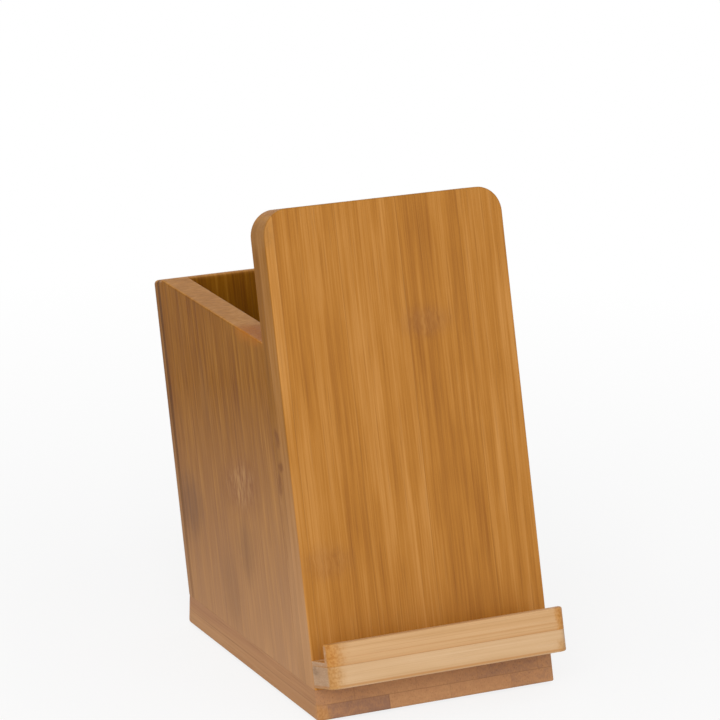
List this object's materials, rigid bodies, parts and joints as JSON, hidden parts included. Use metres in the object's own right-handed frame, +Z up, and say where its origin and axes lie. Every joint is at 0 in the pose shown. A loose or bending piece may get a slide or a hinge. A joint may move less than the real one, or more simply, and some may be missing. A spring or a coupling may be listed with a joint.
{
  "type": "wireless charging pen holder",
  "caption": "Leaning phone stand with a charging coil behind its panel, a slotted ledge in front and an open-topped pen box behind, in laminated bamboo.",
  "frame": {"origin": "on the table, midway across the width and midway between the front of the ledge and the back of the rear wall's top", "axes": "+Z is up, +X is the user's right when facing the phone, +Y points from the phone towards the pens"},
  "size_m": [0.08, 0.1296, 0.1456],
  "materials": {
    "bamboo_dark": "satin lacquer over laminated bamboo",
    "bamboo_pale": "satin lacquer over laminated bamboo",
    "dowel_beech": "plain turned",
    "cover_board": "satin lacquer over thin bamboo",
    "enamelled_copper": "enamelled",
    "ferrite": "sintered",
    "carrier_plastic": "moulded",
    "foam": "cut foam",
    "steel": "zinc plated",
    "plate_plastic": "fine moulded grain",
    "circuit_board": "lacquered",
    "chip_plastic": "moulded",
    "capacitor_ceramic": "fired",
    "socket_plastic": "moulded",
    "contact_gold": "plated",
    "foot_rubber": "soft pad"
  },
  "bodies": {
    "root": {"base_board": "bamboo_dark", "front_panel": "bamboo_dark", "left_side_wall": "bamboo_dark", "right_side_wall": "bamboo_dark", "back_wall": "bamboo_dark", "ledge_shelf": "bamboo_pale", "ledge_lip": "bamboo_pale", "panel_base_dowels": "dowel_beech", "side_base_dowels": "dowel_beech", "back_base_dowels": "dowel_beech", "panel_side_dowels": "dowel_beech", "back_side_dowels": "dowel_beech", "ledge_dowels": "dowel_beech", "coil_cover": "cover_board", "charging_coil": "enamelled_copper", "coil_leads": "enamelled_copper", "ferrite_disc": "ferrite", "coil_carrier": "carrier_plastic", "foam_pad": "foam", "coil_cover_screws": "steel", "base_cover_screws": "steel", "board_screws": "steel", "socket_shell": "steel", "base_cover": "plate_plastic", "driver_board": "circuit_board", "controller_chip": "chip_plastic", "bridge_chips": "chip_plastic", "power_inductor": "chip_plastic", "resistors": "chip_plastic", "resonant_capacitors": "capacitor_ceramic", "socket_insulator": "socket_plastic", "socket_contacts": "contact_gold", "feet": "foot_rubber"}
  },
  "joints": []
}
